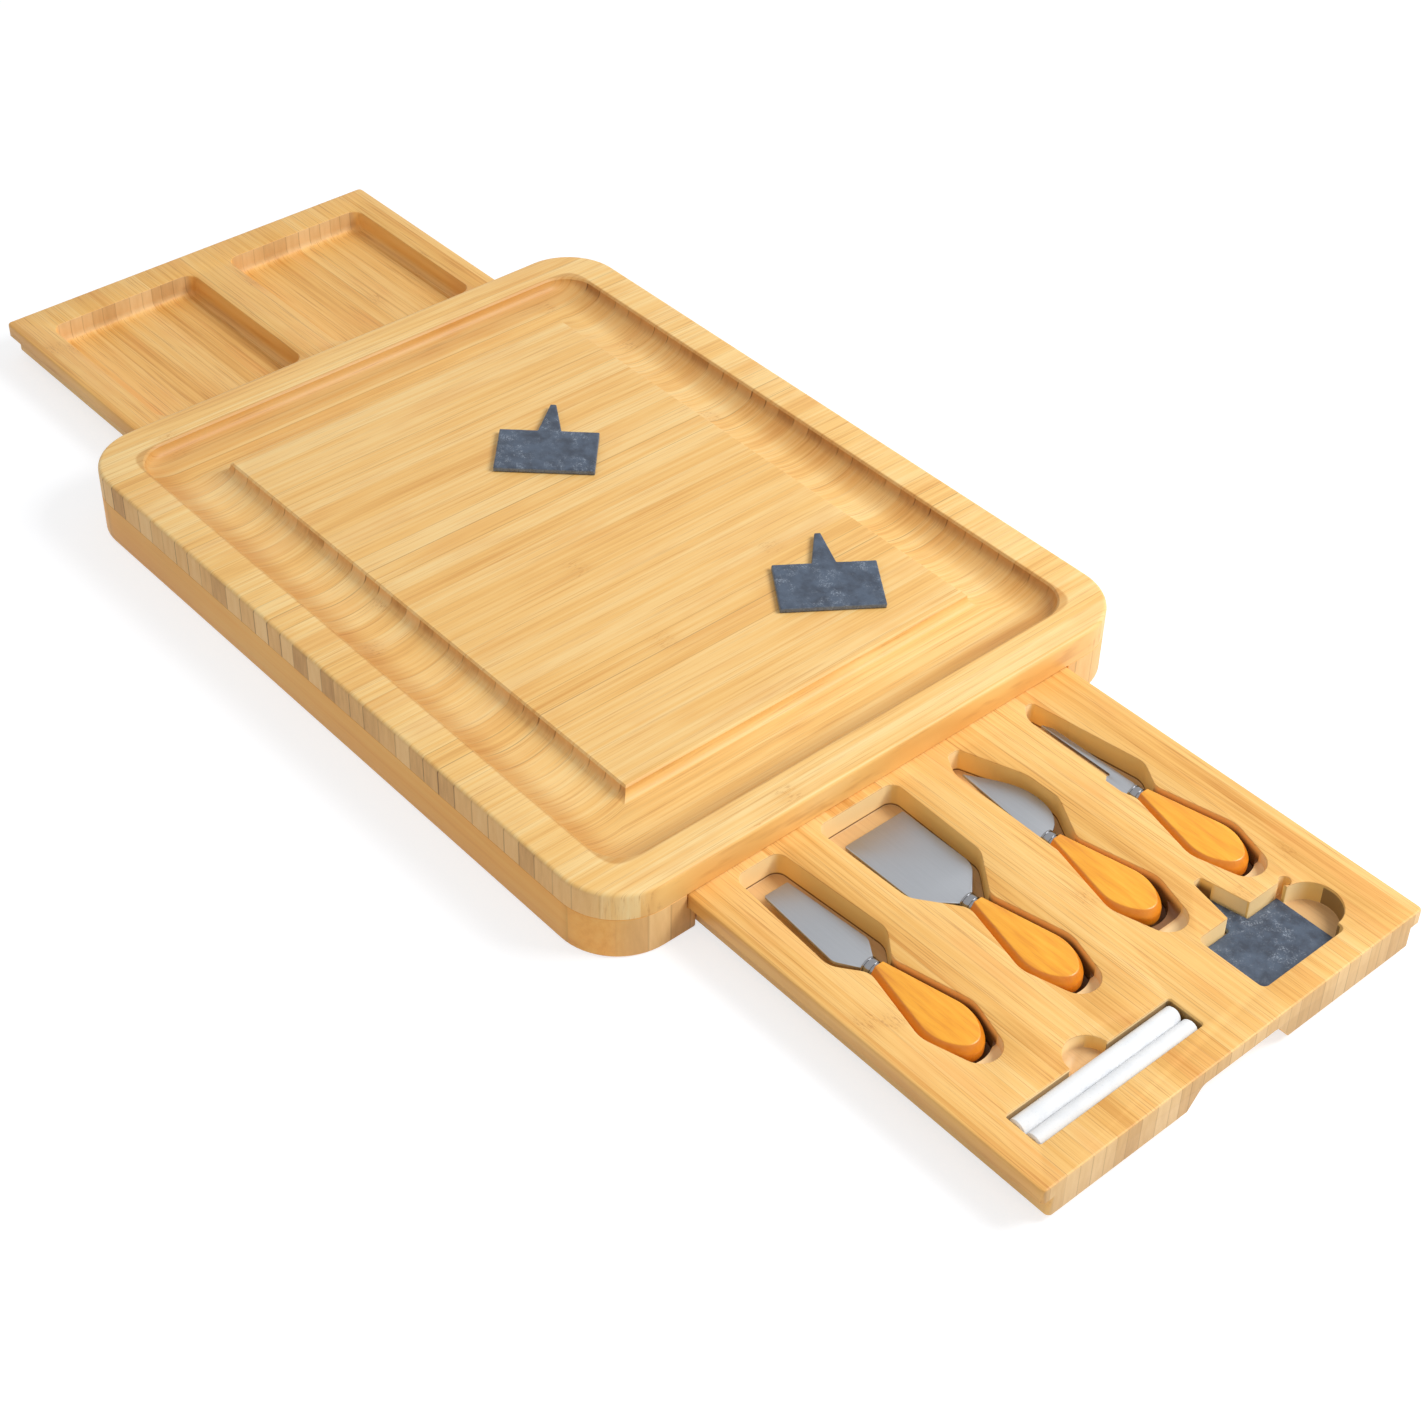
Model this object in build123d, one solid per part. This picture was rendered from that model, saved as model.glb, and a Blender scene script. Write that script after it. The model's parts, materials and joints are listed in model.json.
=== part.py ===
from build123d import *
import math
import os

# Cheese board with two drawers, in millimetres, +Z up.
# +X is the way the knife drawer pulls out, -X the way the snack drawer pulls out.
# Z is zero on the table. X is zero halfway between the fronts of the two opened drawers.

# Board: a thick bamboo platter glued on two side rails, with a stop bar across the middle
board_length = 430.0
board_width = 328.0
corner_radius = 32.0
platter_thickness = 15.0
rail_height = 23.0
top_arris = 2.2
edge_arris = 1.0

# Dished channel that a round cutter leaves all round the serving face
rim_width = 20.0
channel_width = 38.0
channel_depth = 9.5
channel_lip = 1.0
channel_wall_radius = 6.0

# Drawers: a tongue along the top of each side runs in a rabbet of the rail
drawer_width = 238.0
drawer_thickness = 19.0
tongue_thickness = 7.5
tongue_overhang = 5.0
runner_gap = 0.3
side_gap = 0.5
top_gap = 0.5
end_gap = 1.0
drawer_arris = 0.6
front_corner_radius = 2.5
knife_drawer_length = 240.0
knife_drawer_hold = 30.0
snack_drawer_length = 176.0
snack_drawer_hold = 23.0

# Finger notch under the front edge of each drawer
notch_half_width = 32.0
notch_slope_run = 8.0
notch_height = 10.5
notch_depth = 11.0
notch_corner_radius = 5.0

# Snack bowls
bowl_front_border = 19.5
bowl_length = 114.0
bowl_side_border = 16.5
bowl_divider = 23.5
bowl_depth = 12.5
bowl_corner_radius = 7.0
bowl_cove_radius = 4.5

# Knives: where each one lies across the drawer, and the parts they share
knife_axis_shares = {"chisel": -0.353, "spade": -0.105, "pointed": 0.126, "fork": 0.345}
knife_setback = 134.5
pocket_depth = 12.5
pocket_seat_gap = 0.3
throat_half_width = 6.2
throat_setback = 7.5
throat_radius = 8.0
handle_bay_radius = 15.2
handle_bay_reach = 46.5
finger_bay_radius = 10.0
finger_bay_reach = 65.0
handle_length = 59.5
handle_half_width = 13.2
handle_thickness = 12.0
handle_neck_width = 9.2
handle_end_radius = 9.0
handle_belly_share = 0.68
handle_bevel = 2.3
handle_bevel_drop = 3.6
ferrule_length = 6.0
ferrule_diameter = 9.2
tang_width = 4.0
tang_length = 24.0
tang_gap = 0.15
blade_length = 58.0
blade_thickness = 1.6
blade_neck_half_width = 3.6

# Blade outlines, as half widths and distances from the ferrule towards the tip
chisel_shoulder_reach = 10.5
chisel_shoulder_half_width = 10.4
chisel_tip_half_width = 6.8
spade_shoulder_reach = 14.0
spade_shoulder_half_width = 18.0
spade_tip_half_width = 18.0
pointed_shift = 5.0
pointed_crown_reach = 17.0
pointed_crown_height = 16.0
pointed_edge_drop = 3.0
pointed_tip_rise = 1.0
fork_plate_reach = 15.5
fork_half_width = 5.0
fork_tip_half_width = 4.2
fork_slot_half_width = 1.1
fork_point = 5.0
chisel_shoulder_round = 6.0
spade_shoulder_round = 12.0
fork_shoulder = 3.5
tip_round = 0.8

# Blade pockets, measured the same way as the blades
pocket_end_reach = 71.0
pocket_corner_radius = 5.5
pocket_shoulder_radius = 11.0
chisel_pocket_shoulder_reach = 6.5
chisel_pocket_shoulder = 17.0
chisel_pocket_tip = 12.8
spade_pocket_shoulder_reach = 14.0
spade_pocket_shoulder = 22.5
spade_pocket_tip = 24.0
pointed_pocket_back = 19.0
pointed_pocket_shoulder_reach = 15.5
pointed_pocket_edge = 6.0
pointed_pocket_edge_reach = 12.0
pointed_pocket_tip = 7.0
fork_pocket_back = 14.5
fork_pocket_shoulder_reach = 6.5
fork_pocket_edge = 5.5
fork_pocket_tip = 5.0
fork_pocket_step = 2.8
fork_pocket_step_reach = 10.0
pocket_step_radius = 1.2

# Two sticks of chalk lying across the front of the knife drawer
chalk_diameter = 9.0
chalk_length = 95.0
chalk_gap = 0.4
chalk_end_gap = 1.5
chalk_front_border = 17.5
chalk_side_border = 16.0
chalk_pocket_corner_radius = 1.5
chalk_top_gap = 0.8
thumb_radius = 11.0
thumb_depth = 7.5

# Slate markers and their pocket
slate_width = 52.0
slate_height = 34.5
slate_thickness = 3.0
slate_arris = 0.4
stake_root_half_width = 6.2
stake_tip_half_width = 1.6
stake_length = 24.0
slate_gap = 1.0
slate_pocket_front_border = 14.5
slate_pocket_axis_share = 0.2375
slate_pocket_depth = 11.0
slate_pocket_corner_radius = 3.0
slate_finger_radius = 14.0
slate_relief_radius = 2.8
slate_relief_offset = 2.5

# Two markers lie loose on the serving face
loose_markers = {
    "front_marker": {"x": 112.0, "y": 58.0, "turn": -35.0},
    "back_marker": {"x": -62.0, "y": 22.0, "turn": -43.0},
}

overrun = 5.0

# Heights and places that follow from the sizes above
board_height = rail_height + platter_thickness
drawer_top = rail_height - top_gap
drawer_bottom = drawer_top - drawer_thickness
lip_top = drawer_top - tongue_thickness - runner_gap
bay_half_width = drawer_width / 2 + side_gap
lip_half_width = bay_half_width - tongue_overhang
knife_travel = knife_drawer_length - knife_drawer_hold
snack_travel = snack_drawer_length - snack_drawer_hold
knife_axes = {name: share * drawer_width for name, share in knife_axis_shares.items()}
slate_pocket_axis = slate_pocket_axis_share * drawer_width
pocket_floor = drawer_top - pocket_depth
knife_axis_height = pocket_floor + pocket_seat_gap + handle_thickness / 2
knife_front = board_length / 2 + knife_travel
snack_front = -board_length / 2 - snack_travel
knife_drawer_back = board_length / 2 - knife_drawer_length
snack_drawer_back = -board_length / 2 + snack_drawer_length
row_shift = (snack_travel - knife_travel) / 2


def prism(outline, low, high):
    return Pos(0, 0, low) * extrude(outline, high - low)


def filled(points):
    return make_face(Polyline(*points, close=True))


def rounded(points, corners):
    """Fill an outline and round each of its corners that has a radius."""
    face = filled(points)
    for point, radius in zip(points, corners):
        if radius > 0:
            nearest = face.vertices().sort_by_distance(Vector(*point))[0]
            face = fillet(nearest, radius)
    return face


def board_outline():
    return RectangleRounded(board_length, board_width, corner_radius)


def channel_profile(end_angle):
    """Half or all of the cutter's section: a bevelled lip, a steep wall and a dished floor."""
    half = channel_width / 2
    wall_x = half - channel_lip
    bowl = channel_depth - channel_lip
    reach = wall_x - channel_wall_radius
    dish = (reach**2 + bowl**2 - channel_wall_radius**2) / (2 * (bowl - channel_wall_radius))
    turn = math.degrees(math.atan2(dish - bowl, reach))
    floor_z = board_height - channel_depth
    lip_z = board_height - channel_lip
    right = [
        Line((half, board_height + overrun), (half, board_height)),
        Line((half, board_height), (wall_x, lip_z)),
        CenterArc((reach, lip_z), channel_wall_radius, 0, -turn),
    ]
    if end_angle == 90:
        floor = [CenterArc((0, floor_z + dish), dish, -turn, turn - 90)]
        closing = [
            Line((0, floor_z), (0, board_height + overrun)),
            Line((0, board_height + overrun), (half, board_height + overrun)),
        ]
        return make_face(right + floor + closing)
    floor = [CenterArc((0, floor_z + dish), dish, -turn, 2 * turn - 180)]
    left = [
        CenterArc((-reach, lip_z), channel_wall_radius, turn - 180, -turn),
        Line((-wall_x, lip_z), (-half, board_height)),
        Line((-half, board_height), (-half, board_height + overrun)),
    ]
    closing = [Line((-half, board_height + overrun), (half, board_height + overrun))]
    return make_face(right + floor + left + closing)


def channel_cut():
    path_x = board_length / 2 - rim_width - channel_width / 2
    path_y = board_width / 2 - rim_width - channel_width / 2
    across = Plane.XZ * channel_profile(180)
    along_y = extrude(across, path_y, both=True)
    along_x = Rot(0, 0, 90) * extrude(across, path_x, both=True)
    corner = revolve(Plane.XZ * channel_profile(90), Axis.Z)
    cut = Pos(path_x, 0, 0) * along_y + Pos(-path_x, 0, 0) * along_y
    cut += Pos(0, path_y, 0) * along_x
    cut += Pos(0, -path_y, 0) * along_x
    for x in (-path_x, path_x):
        for y in (-path_y, path_y):
            cut += Pos(x, y, 0) * corner
    return cut


def platter_top():
    board = prism(board_outline(), rail_height, board_height)
    board = fillet(board.faces().sort_by(Axis.Z)[-1].edges(), top_arris)
    return board - channel_cut()


def side_rail(side):
    """A rail under one long edge: full height outside, with a lip that carries the tongue."""
    outer_y = side * board_width / 2
    upper_strip = Pos(0, (side * bay_half_width + outer_y) / 2) * Rectangle(
        board_length, board_width / 2 - bay_half_width
    )
    lower_strip = Pos(0, (side * lip_half_width + outer_y) / 2) * Rectangle(
        board_length, board_width / 2 - lip_half_width
    )
    rail = prism(board_outline() & lower_strip, 0, lip_top)
    rail += prism(board_outline() & upper_strip, lip_top, rail_height)
    foot = rail.faces().sort_by(Axis.Z)[0]
    return chamfer(foot.edges(), edge_arris)


def centre_stop():
    """The bar that both drawers stop against, notched over the lips of the rails."""
    low_x = snack_drawer_back + end_gap
    high_x = knife_drawer_back - end_gap
    middle = Pos((low_x + high_x) / 2, 0)
    lower = middle * Rectangle(high_x - low_x, 2 * lip_half_width)
    upper = middle * Rectangle(high_x - low_x, 2 * bay_half_width)
    return prism(lower, drawer_bottom, lip_top) + prism(upper, lip_top, rail_height)


def finger_notch():
    half = notch_half_width
    top_half = half - notch_slope_run
    top = drawer_bottom + notch_height
    low = drawer_bottom - overrun
    points = [(-half, low), (-half, drawer_bottom), (-top_half, top), (top_half, top), (half, drawer_bottom), (half, low)]
    arch = rounded(points, [0, 0, notch_corner_radius, notch_corner_radius, 0, 0])
    return extrude(Plane.YZ.offset(-notch_depth) * arch, notch_depth + overrun)


def drawer_blank(length):
    """A drawer with its front face on x = 0, running back to x = -length."""
    half = drawer_width / 2
    body_half = half - tongue_overhang
    tongue_bottom = drawer_top - tongue_thickness
    body = prism(Pos(-length / 2, 0) * Rectangle(length, 2 * body_half), drawer_bottom, tongue_bottom)
    body += prism(Pos(-length / 2, 0) * Rectangle(length, 2 * half), tongue_bottom, drawer_top)
    front_corners = body.edges().filter_by(Axis.Z).group_by(Axis.X)[-1]
    body = fillet(front_corners, front_corner_radius)
    body = chamfer(body.faces().sort_by(Axis.Z)[-1].edges(), drawer_arris)
    return body - finger_notch()


def knife_x(reach):
    """Place along the drawer of a point that lies this far from a ferrule towards its tip."""
    return -knife_setback - reach


def knife_point(reach, side):
    return (knife_x(reach), side)


def tangent_point(start, middle, radius):
    """Where a line from start first touches a circle, on the side towards +Y."""
    toward = middle - start
    lean = math.asin(radius / toward.length) + math.atan2(toward.Y, toward.X)
    reach = math.sqrt(toward.length**2 - radius**2)
    return start + Vector(math.cos(lean), math.sin(lean)) * reach


def handle_bay():
    """Pocket round a handle's belly, drawn out at its end for a fingertip."""
    belly = Pos(knife_x(-handle_bay_reach), 0) * Circle(handle_bay_radius)
    finger = Pos(knife_x(-finger_bay_reach), 0) * Circle(finger_bay_radius)
    return make_hull(belly.edges() + finger.edges())


def tool_bay(points, corners):
    """Pocket of a whole tool: the blade's part, given from the throat's -Y side round to its +Y side,
    a rounded throat, and straight flanks that run into the handle's bay."""
    throat = Vector(*knife_point(-throat_setback, throat_half_width))
    belly = Vector(*knife_point(-handle_bay_reach, 0))
    flank = tangent_point(throat, belly, handle_bay_radius)
    outline = [(flank.X, -flank.Y), (throat.X, -throat.Y)] + points + [(throat.X, throat.Y), (flank.X, flank.Y)]
    return rounded(outline, [0, throat_radius] + corners + [throat_radius, 0]) + handle_bay()


def straight_bay(shoulder_reach, shoulder, tip):
    """Pocket of a tool whose blade is alike on both sides."""
    points = [
        knife_point(shoulder_reach, -shoulder),
        knife_point(pocket_end_reach, -tip),
        knife_point(pocket_end_reach, tip),
        knife_point(shoulder_reach, shoulder),
    ]
    ends = pocket_corner_radius
    shoulders = pocket_shoulder_radius
    return tool_bay(points, [shoulders, ends, ends, shoulders])


def pointed_bay():
    """Pocket of the pointed knife: straight along the edge, bowed out along the back."""
    back = pointed_pocket_back
    edge = -pointed_pocket_edge
    end = pocket_end_reach - pointed_pocket_tip / 2
    points = [
        knife_point(pointed_pocket_edge_reach, edge),
        knife_point(pocket_end_reach - 2 * pointed_pocket_tip, edge),
        knife_point(end, 0),
        knife_point(end, pointed_pocket_tip),
        knife_point(pocket_end_reach / 2, back),
        knife_point(pointed_pocket_shoulder_reach, back),
    ]
    ends = pocket_corner_radius / 2
    shoulders = pocket_shoulder_radius
    return tool_bay(points, [0, shoulders, ends, ends, 2 * shoulders, shoulders])


def fork_bay():
    """Pocket of the fork: stepped in beside the tines, wide at the back for a finger."""
    back = fork_pocket_back
    edge = -fork_pocket_edge
    wide = edge - fork_pocket_step
    step = fork_pocket_step_reach
    end = pocket_end_reach - fork_pocket_tip / 2
    points = [
        knife_point(0, wide),
        knife_point(step, wide),
        knife_point(step + fork_pocket_step / 2, edge),
        knife_point(pocket_end_reach - 2 * fork_pocket_tip, edge),
        knife_point(end, 0),
        knife_point(end, fork_pocket_tip),
        knife_point(fork_pocket_shoulder_reach, back),
    ]
    small = pocket_step_radius
    ends = pocket_corner_radius / 2
    shoulders = pocket_shoulder_radius
    return tool_bay(points, [small, small, small, shoulders, ends, ends, shoulders])


def chalk_pocket_outline():
    depth_x = 2 * chalk_diameter + chalk_gap + 2 * chalk_end_gap / 4
    length_y = chalk_length + 2 * chalk_end_gap
    x = -chalk_front_border - depth_x / 2
    y = -drawer_width / 2 + chalk_side_border + length_y / 2
    return Pos(x, y) * RectangleRounded(depth_x, length_y, chalk_pocket_corner_radius), x, y, depth_x


def marker_outline(gap, corner):
    """A slate sign with its stake, lying with the stake towards -X and its front edge on x = 0."""
    half = slate_width / 2 + gap
    back = -slate_height - gap
    root = stake_root_half_width + gap
    tip = stake_tip_half_width + gap
    end = back - stake_length
    points = [(gap, -half), (gap, half), (back, half), (back, root), (end, tip), (end, -tip), (back, -root), (back, -half)]
    return rounded(points, [corner, corner, 0, 0, corner / 2, corner / 2, 0, corner])


def slate_pocket_outline():
    """Pocket for a marker, with a lobe for a fingertip and the cutter's relief at one corner."""
    front = -slate_pocket_front_border - slate_gap
    half = slate_width / 2 + slate_gap
    sign = Pos(front, slate_pocket_axis) * marker_outline(slate_gap, slate_pocket_corner_radius)
    finger = Pos(front - slate_height / 2, slate_pocket_axis + half) * Circle(slate_finger_radius)
    relief_x = front - slate_height
    relief_y = slate_pocket_axis + half + slate_relief_offset
    relief = Pos(relief_x, relief_y) * Circle(slate_relief_radius)
    neck = Pos(relief_x, relief_y - slate_relief_offset) * Rectangle(2 * slate_gap, 2 * slate_relief_offset)
    return sign + finger + relief + neck


def knife_drawer():
    drawer = drawer_blank(knife_drawer_length)
    bays = {
        "chisel": straight_bay(chisel_pocket_shoulder_reach, chisel_pocket_shoulder, chisel_pocket_tip),
        "spade": straight_bay(spade_pocket_shoulder_reach, spade_pocket_shoulder, spade_pocket_tip),
        "pointed": pointed_bay(),
        "fork": fork_bay(),
    }
    for name, bay in bays.items():
        drawer -= Pos(0, knife_axes[name], 0) * prism(bay, pocket_floor, drawer_top + overrun)
    chalk_outline, chalk_x, chalk_y, chalk_width = chalk_pocket_outline()
    chalk_floor = drawer_top - chalk_top_gap - chalk_diameter
    drawer -= prism(chalk_outline, chalk_floor, drawer_top + overrun)
    thumb = Pos(chalk_x - chalk_width / 2, chalk_y) * Circle(thumb_radius)
    drawer -= prism(thumb, drawer_top - thumb_depth, drawer_top + overrun)
    drawer -= prism(slate_pocket_outline(), drawer_top - slate_pocket_depth, drawer_top + overrun)
    return drawer


def snack_drawer():
    drawer = drawer_blank(snack_drawer_length)
    bowl_width = drawer_width / 2 - bowl_side_border - bowl_divider / 2
    for side in (-1, 1):
        y = side * (bowl_divider + bowl_width) / 2
        outline = Pos(-bowl_front_border - bowl_length / 2, y) * RectangleRounded(
            bowl_length, bowl_width, bowl_corner_radius
        )
        bowl = prism(outline, drawer_top - bowl_depth, drawer_top + overrun)
        bowl = fillet(bowl.faces().sort_by(Axis.Z)[0].edges(), bowl_cove_radius)
        drawer -= bowl
    return drawer


def chisel_outline():
    points = [
        (0, -blade_neck_half_width),
        (-chisel_shoulder_reach, -chisel_shoulder_half_width),
        (-blade_length, -chisel_tip_half_width),
        (-blade_length, chisel_tip_half_width),
        (-chisel_shoulder_reach, chisel_shoulder_half_width),
        (0, blade_neck_half_width),
    ]
    shoulders = chisel_shoulder_round
    return rounded(points, [0, shoulders, tip_round, tip_round, shoulders, 0])


def spade_outline():
    points = [
        (0, -blade_neck_half_width),
        (-spade_shoulder_reach, -spade_shoulder_half_width),
        (-blade_length, -spade_tip_half_width),
        (-blade_length, spade_tip_half_width),
        (-spade_shoulder_reach, spade_shoulder_half_width),
        (0, blade_neck_half_width),
    ]
    shoulders = spade_shoulder_round
    return rounded(points, [0, shoulders, tip_round, tip_round, shoulders, 0])


def pointed_outline():
    """Straight cutting edge, with a back that rises near the handle and falls to the point."""
    tip = (pointed_shift - blade_length, pointed_tip_rise)
    heel = (0, -blade_neck_half_width)
    edge = (-fork_shoulder, -pointed_edge_drop)
    neck = (0, blade_neck_half_width)
    crown = (-pointed_crown_reach, pointed_crown_height)
    lines = [
        Line(heel, edge),
        Line(edge, tip),
        Spline(tip, crown, neck, tangents=[(1, 0.75), (0.35, -1)]),
        Line(neck, heel),
    ]
    return make_face(lines)


def fork_outline():
    half = fork_half_width
    tip_half = fork_tip_half_width
    points = [
        (0, -blade_neck_half_width),
        (-fork_shoulder, -half),
        (fork_point - blade_length, -tip_half),
        (-blade_length, -fork_slot_half_width - tip_round),
        (-blade_length, fork_slot_half_width + tip_round),
        (fork_point - blade_length, tip_half),
        (-fork_shoulder, half),
        (0, blade_neck_half_width),
    ]
    plate = filled(points)
    slot_length = blade_length - fork_plate_reach + overrun
    slot = Pos(-fork_plate_reach - slot_length / 2, 0) * Rectangle(slot_length, 2 * fork_slot_half_width)
    root = Pos(-fork_plate_reach, 0) * Circle(fork_slot_half_width)
    return plate - slot - root


def blade(outline):
    """A flat blade and its tang, cut from one sheet, along the knife's own axis, tip towards -X."""
    tang = Rectangle(tang_length, tang_width, align=(Align.MIN, Align.CENTER))
    return prism(outline + tang, -blade_thickness / 2, blade_thickness / 2)


def tang_slot():
    """The slot round the tang, through the ferrule and into the handle."""
    return Box(
        tang_length + tang_gap,
        tang_width + 2 * tang_gap,
        blade_thickness + 2 * tang_gap,
        align=(Align.MIN, Align.CENTER, Align.CENTER),
    )


def ferrule():
    """A plain steel collar between blade and handle."""
    return extrude(Plane.YZ * Circle(ferrule_diameter / 2), ferrule_length) - tang_slot()


def handle_outline():
    """Straight flanks that swell from a narrow neck into a flat belly arc and a round end."""
    start = ferrule_length
    end = start + handle_length
    neck = handle_neck_width / 2
    belly_x = start + handle_length * handle_belly_share
    end_x = end - handle_end_radius
    rise = handle_half_width - handle_end_radius
    drop = ((end_x - belly_x) ** 2 - rise**2) / (2 * rise)
    belly_radius = handle_half_width + drop
    reach = belly_radius - handle_end_radius
    join = Vector(end_x, 0) + Vector(end_x - belly_x, drop) * (handle_end_radius / reach)
    swell = tangent_point(Vector(start, neck), Vector(belly_x, -drop), belly_radius)
    end_angle = math.degrees(math.atan2(join.Y, join.X - end_x))
    turn = math.degrees(math.atan2(swell.Y + drop, swell.X - belly_x))
    upper = [
        Line((start, neck), swell),
        CenterArc((belly_x, -drop), belly_radius, turn, end_angle - turn),
        CenterArc((end_x, 0), handle_end_radius, end_angle, -end_angle),
    ]
    half = make_face(upper + [Line((end, 0), (start, 0)), Line((start, 0), (start, neck))])
    return half + mirror(half, about=Plane.XZ)


def handle():
    """A paddle handle with bevelled edges, slotted for the tang."""
    body = prism(handle_outline(), -handle_thickness / 2, handle_thickness / 2)
    for level in (0, -1):
        flat = body.faces().sort_by(Axis.Z)[level]
        rim = flat.edges().filter_by(lambda edge: edge.center().X > ferrule_length + tang_gap)
        body = chamfer(rim, handle_bevel, handle_bevel_drop, reference=flat)
    return body - tang_slot()


def chalk_stick():
    return Rot(90, 0, 0) * Cylinder(chalk_diameter / 2, chalk_length)


def slate_marker():
    """A slate sign lying flat on z = 0, its front edge on x = 0 and its stake towards -X."""
    slab = prism(marker_outline(0, 0), 0, slate_thickness)
    return chamfer(slab.faces().sort_by(Axis.Z)[-1].edges(), slate_arris)


def all_parts():
    parts = {
        "platter_top": platter_top(),
        "near_rail": side_rail(-1),
        "far_rail": side_rail(1),
        "centre_stop": centre_stop(),
    }
    in_knife_drawer = Pos(knife_front, 0, 0)
    parts["knife_drawer"] = in_knife_drawer * knife_drawer()
    parts["snack_drawer"] = Pos(snack_front, 0, 0) * Rot(0, 0, 180) * snack_drawer()

    outlines = {"chisel": chisel_outline(), "spade": spade_outline(), "pointed": pointed_outline(), "fork": fork_outline()}
    for name, outline in outlines.items():
        shift = pointed_shift if name == "pointed" else 0
        place = in_knife_drawer * Pos(knife_x(shift), knife_axes[name], knife_axis_height)
        parts[name + "_blade"] = place * blade(outline)
        parts[name + "_ferrule"] = place * ferrule()
        parts[name + "_handle"] = place * handle()

    chalk_outline, chalk_x, chalk_y, chalk_width = chalk_pocket_outline()
    chalk_z = drawer_top - chalk_top_gap - chalk_diameter / 2
    chalk_step = (chalk_diameter + chalk_gap) / 2
    for name, side in (("front_chalk", 1), ("back_chalk", -1)):
        parts[name] = in_knife_drawer * Pos(chalk_x + side * chalk_step, chalk_y, chalk_z) * chalk_stick()

    pocket_z = drawer_top - slate_pocket_depth
    slate_x = -slate_pocket_front_border - slate_gap
    parts["stored_marker"] = in_knife_drawer * Pos(slate_x, slate_pocket_axis, pocket_z) * slate_marker()
    for name, lie in loose_markers.items():
        place = Pos(lie["x"], lie["y"], board_height) * Rot(0, 0, lie["turn"])
        parts[name] = place * Pos(slate_height / 2, 0, 0) * slate_marker()
    return parts


os.makedirs("parts", exist_ok=True)
for node, shape in all_parts().items():
    export_step(Pos(row_shift, 0, 0) * shape, f"parts/{node}.step")
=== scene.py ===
import json
import math

import bmesh
import bpy
from mathutils import Matrix, Vector, noise

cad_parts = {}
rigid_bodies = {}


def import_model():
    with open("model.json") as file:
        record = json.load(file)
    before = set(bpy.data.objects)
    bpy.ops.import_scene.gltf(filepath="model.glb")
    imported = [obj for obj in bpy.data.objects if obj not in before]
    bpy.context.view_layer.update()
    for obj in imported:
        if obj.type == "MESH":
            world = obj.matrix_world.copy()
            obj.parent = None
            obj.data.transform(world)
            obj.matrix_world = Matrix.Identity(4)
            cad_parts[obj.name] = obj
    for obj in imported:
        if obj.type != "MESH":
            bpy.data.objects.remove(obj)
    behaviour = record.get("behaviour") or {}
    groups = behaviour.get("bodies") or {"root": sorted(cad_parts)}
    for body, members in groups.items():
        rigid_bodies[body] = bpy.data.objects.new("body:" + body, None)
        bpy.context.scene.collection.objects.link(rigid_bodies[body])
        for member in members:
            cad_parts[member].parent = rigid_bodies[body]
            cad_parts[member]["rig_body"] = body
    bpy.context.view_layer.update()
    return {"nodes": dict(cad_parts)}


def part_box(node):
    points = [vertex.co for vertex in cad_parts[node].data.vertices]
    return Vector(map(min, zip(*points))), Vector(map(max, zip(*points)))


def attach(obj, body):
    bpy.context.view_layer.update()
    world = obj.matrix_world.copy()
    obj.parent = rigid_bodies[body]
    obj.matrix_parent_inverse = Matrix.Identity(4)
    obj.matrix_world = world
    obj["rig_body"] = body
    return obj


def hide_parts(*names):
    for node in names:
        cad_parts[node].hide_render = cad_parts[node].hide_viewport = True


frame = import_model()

mm = 0.001
rowShift = -28.5  # mm along X, from the middle of the row to the middle of the board


# small helpers for node trees

def wire(tree, socket, value):
    if isinstance(value, bpy.types.NodeSocket):
        tree.links.new(value, socket)
    else:
        socket.default_value = value


def put(tree, kind, inputs=None, **settings):
    node = tree.nodes.new(kind)
    for name, value in settings.items():
        setattr(node, name, value)
    for name, value in (inputs or {}).items():
        wire(tree, node.inputs[name], value)
    return node


def calc(tree, operation, a, b=0.0):
    return put(tree, "ShaderNodeMath", {0: a, 1: b}, operation=operation).outputs[0]


def times(tree, first, *others):
    for other in others:
        first = calc(tree, "MULTIPLY", first, other)
    return first


def total(tree, first, *others):
    for other in others:
        first = calc(tree, "ADD", first, other)
    return first


# what a share leaves of the whole
def restOf(tree, share):
    return calc(tree, "SUBTRACT", 1.0, share)


# 1 where the value is less than reach away from the middle, otherwise 0
def within(tree, value, middle, reach):
    away = calc(tree, "ABSOLUTE", calc(tree, "SUBTRACT", value, middle))
    return calc(tree, "LESS_THAN", away, reach)


def ease(tree, value, low, high, toLow=0.0, toHigh=1.0):
    inputs = {"Value": value, "From Min": low, "From Max": high, "To Min": toLow, "To Max": toHigh}
    return put(tree, "ShaderNodeMapRange", inputs, interpolation_type="SMOOTHSTEP").outputs[0]


def tint(tree, factor, a, b, blend="MIX"):
    inputs = {0: factor, 6: a, 7: b}
    return put(tree, "ShaderNodeMix", inputs, data_type="RGBA", blend_type=blend).outputs[2]


def split(tree, vector):
    return put(tree, "ShaderNodeSeparateXYZ", {0: vector}).outputs


def combine(tree, x, y, z):
    return put(tree, "ShaderNodeCombineXYZ", {"X": x, "Y": y, "Z": z}).outputs[0]


def cloudNoise(tree, vector, scale, detail, roughness, distortion=0.0):
    inputs = {"Vector": vector, "Scale": scale, "Detail": detail, "Roughness": roughness}
    inputs["Distortion"] = distortion
    return put(tree, "ShaderNodeTexNoise", inputs).outputs["Fac"]


# noise drawn out along the grain: repeats per metre on each of the three axes, then detail and roughness
def streaks(tree, axes, pattern):
    *repeats, detail, roughness = pattern
    drawn = [times(tree, axis, number) for axis, number in zip(axes, repeats)]
    return cloudNoise(tree, combine(tree, *drawn), 1.0, detail, roughness)


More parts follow.
